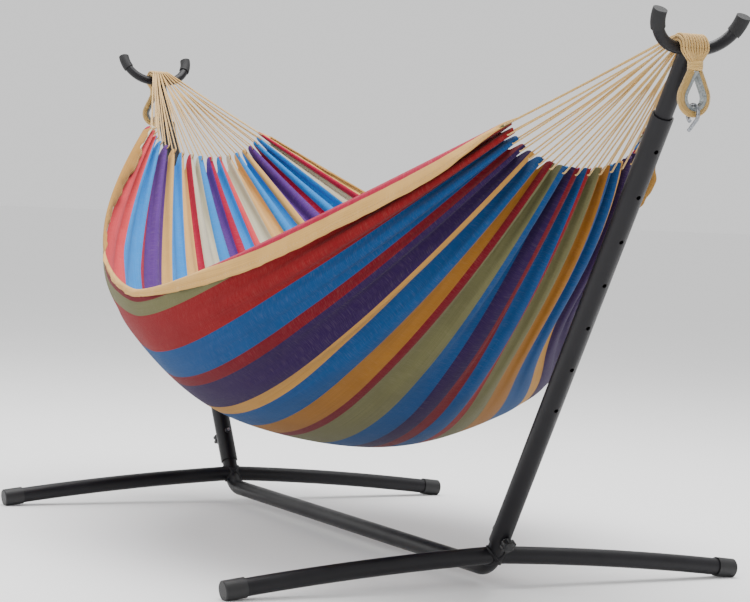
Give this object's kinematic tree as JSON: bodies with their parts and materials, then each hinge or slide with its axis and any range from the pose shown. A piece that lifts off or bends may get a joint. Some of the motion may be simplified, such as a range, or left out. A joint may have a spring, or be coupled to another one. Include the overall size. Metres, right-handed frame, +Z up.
{
  "type": "hammock on stand",
  "caption": "Striped cloth hammock slung by cord harnesses between two leaning arms of a free-standing steel tube stand, with hooks, eyes and clamp knobs.",
  "frame": {"origin": "on the floor, under the middle of the stand", "axes": "+X along the stand towards the near end, +Y across it, +Z up"},
  "size_m": [2.5662, 1.2002, 1.1364],
  "materials": {
    "charcoal_tube": "satin charcoal powder coat",
    "black_cap": "matt moulded",
    "hook_cap": "matt",
    "black_knob": "fine grained moulded",
    "black_steel": "black oxide",
    "zinc_steel": "zinc plated",
    "thimble_steel": "galvanised",
    "hook_steel": "galvanised",
    "cord": "twisted cotton and polyester cord",
    "whipping": "tightly whipped cord",
    "striped_cloth": "woven cotton in many lengthwise stripes",
    "cloth_hem": "folded and sewn cotton hem"
  },
  "bodies": {
    "stand": {"spine_tube": "charcoal_tube", "near_elbow": "charcoal_tube", "far_elbow": "charcoal_tube", "near_left_foot": "charcoal_tube", "near_right_foot": "charcoal_tube", "far_left_foot": "charcoal_tube", "far_right_foot": "charcoal_tube", "near_arm": "charcoal_tube", "far_arm": "charcoal_tube", "near_upper_arm": "charcoal_tube", "far_upper_arm": "charcoal_tube", "near_hook_bar": "charcoal_tube", "far_hook_bar": "charcoal_tube", "near_left_foot_cap": "black_cap", "near_left_hook_cap": "hook_cap", "near_right_foot_cap": "black_cap", "near_right_hook_cap": "hook_cap", "near_clamp_nut": "black_steel", "near_knob_washer": "zinc_steel", "near_arm_screw": "black_steel", "near_saddle_cords": "cord", "far_left_foot_cap": "black_cap", "far_left_hook_cap": "hook_cap", "far_right_foot_cap": "black_cap", "far_right_hook_cap": "hook_cap", "far_clamp_nut": "black_steel", "far_knob_washer": "zinc_steel", "far_arm_screw": "black_steel", "far_saddle_cords": "cord"},
    "hammock": {"cloth": "striped_cloth", "near_harness": "cord", "far_harness": "cord"},
    "near_tail": {"near_tail_cords": "cord", "near_neck": "whipping", "near_eye": "whipping", "near_thimble": "thimble_steel"},
    "near_hook": {"near_s_hook": "hook_steel"},
    "near_clamp": {"near_knob": "black_knob", "near_knob_bolt": "zinc_steel"},
    "far_tail": {"far_tail_cords": "cord", "far_neck": "whipping", "far_eye": "whipping", "far_thimble": "thimble_steel"},
    "far_hook": {"far_s_hook": "hook_steel"},
    "far_clamp": {"far_knob": "black_knob", "far_knob_bolt": "zinc_steel"}
  },
  "joints": [
    {"name": "hammock_swing", "type": "hinge", "parent": "stand", "child": "hammock", "pos_m": [0, 0, 1.08552], "axis": [1, 0, 0], "range_deg": [-28, 28]},
    {"name": "near_tail_swing", "type": "hinge", "parent": "stand", "child": "near_tail", "pos_m": [1.2575, 0, 1.06752], "axis": [0, 1, 0], "range_deg": [-40, 1.5]},
    {"name": "near_hook_swing", "type": "hinge", "parent": "near_tail", "child": "near_hook", "pos_m": [1.2575, 0, 0.95202], "axis": [0, 1, 0], "range_deg": [-35, 35]},
    {"name": "near_knob_turn", "type": "hinge", "parent": "stand", "child": "near_clamp", "pos_m": [0.69918, 0, 0.09494], "axis": [0.8625, 0, -0.506], "continuous": true},
    {"name": "far_tail_swing", "type": "hinge", "parent": "stand", "child": "far_tail", "pos_m": [-1.2575, 0, 1.06752], "axis": [0, -1, 0], "range_deg": [-40, 1.5]},
    {"name": "far_hook_swing", "type": "hinge", "parent": "far_tail", "child": "far_hook", "pos_m": [-1.2575, 0, 0.95202], "axis": [0, -1, 0], "range_deg": [-35, 35]},
    {"name": "far_knob_turn", "type": "hinge", "parent": "stand", "child": "far_clamp", "pos_m": [-0.72853, 0, 0.14497], "axis": [-0.8625, 0, -0.506], "continuous": true}
  ]
}
